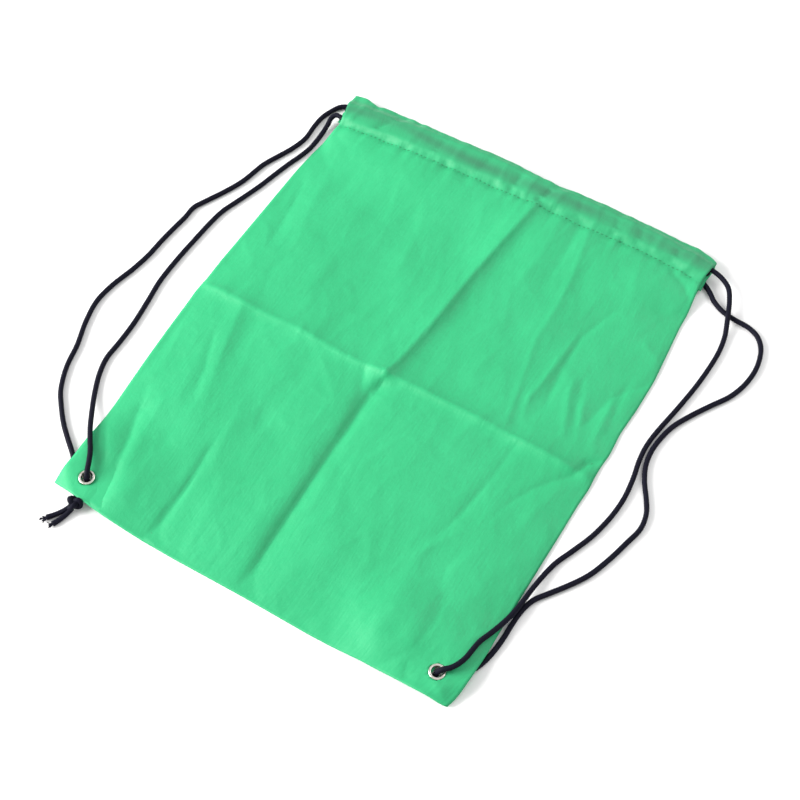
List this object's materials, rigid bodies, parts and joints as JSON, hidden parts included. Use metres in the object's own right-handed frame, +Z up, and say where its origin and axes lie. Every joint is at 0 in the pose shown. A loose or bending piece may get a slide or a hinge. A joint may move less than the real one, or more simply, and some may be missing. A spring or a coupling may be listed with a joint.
{
  "type": "drawstring bag",
  "caption": "Flat cloth drawstring bag with a hem channel across its mouth and cords that run down both sides to corner eyelets as shoulder straps",
  "frame": {"origin": "on the surface the bag lies on, under the middle of the bag's outline without its cords", "axes": "+X to the right side of the bag seen from its front, +Y from the closed bottom to the mouth, +Z up out of the front panel"},
  "size_m": [0.4806, 0.4599, 0.0179],
  "materials": {
    "cloth": "satin",
    "cord": "matte",
    "thread": "satin",
    "eyelet_metal": "gloss"
  },
  "bodies": {
    "bag": {"front_panel": "cloth", "back_panel": "cloth", "left_seam_thread": "thread", "right_seam_thread": "thread", "bottom_seam_thread": "thread", "front_casing_thread": "thread", "back_casing_thread": "thread", "left_eyelet": "eyelet_metal", "right_eyelet": "eyelet_metal", "left_eyelet_washer": "eyelet_metal", "right_eyelet_washer": "eyelet_metal", "left_cord_casing_run": "cord", "right_cord_casing_run": "cord", "left_cord_front_end": "cord", "left_cord_back_end": "cord", "right_cord_front_end": "cord", "right_cord_back_end": "cord", "right_knot": "cord"},
    "left_strap": {"left_cord_front_strand": "cord", "left_cord_back_strand": "cord"},
    "right_strap": {"right_cord_front_strand": "cord", "right_cord_back_strand": "cord"},
    "left_knot": {"left_knot": "cord"}
  },
  "joints": [
    {"name": "left_strap_swing", "type": "hinge", "parent": "bag", "child": "left_strap", "pos_m": [-0.1735, 0, 0.0035], "axis": [0, 1, 0], "range_deg": [0, 150]},
    {"name": "right_strap_swing", "type": "hinge", "parent": "bag", "child": "right_strap", "pos_m": [0.1775, 0, 0.0035], "axis": [0, -1, 0], "range_deg": [0, 150]},
    {"name": "left_knot_pull", "type": "slide", "parent": "bag", "child": "left_knot", "axis": [0, -1, 0], "range_m": [0, 0.045]}
  ]
}
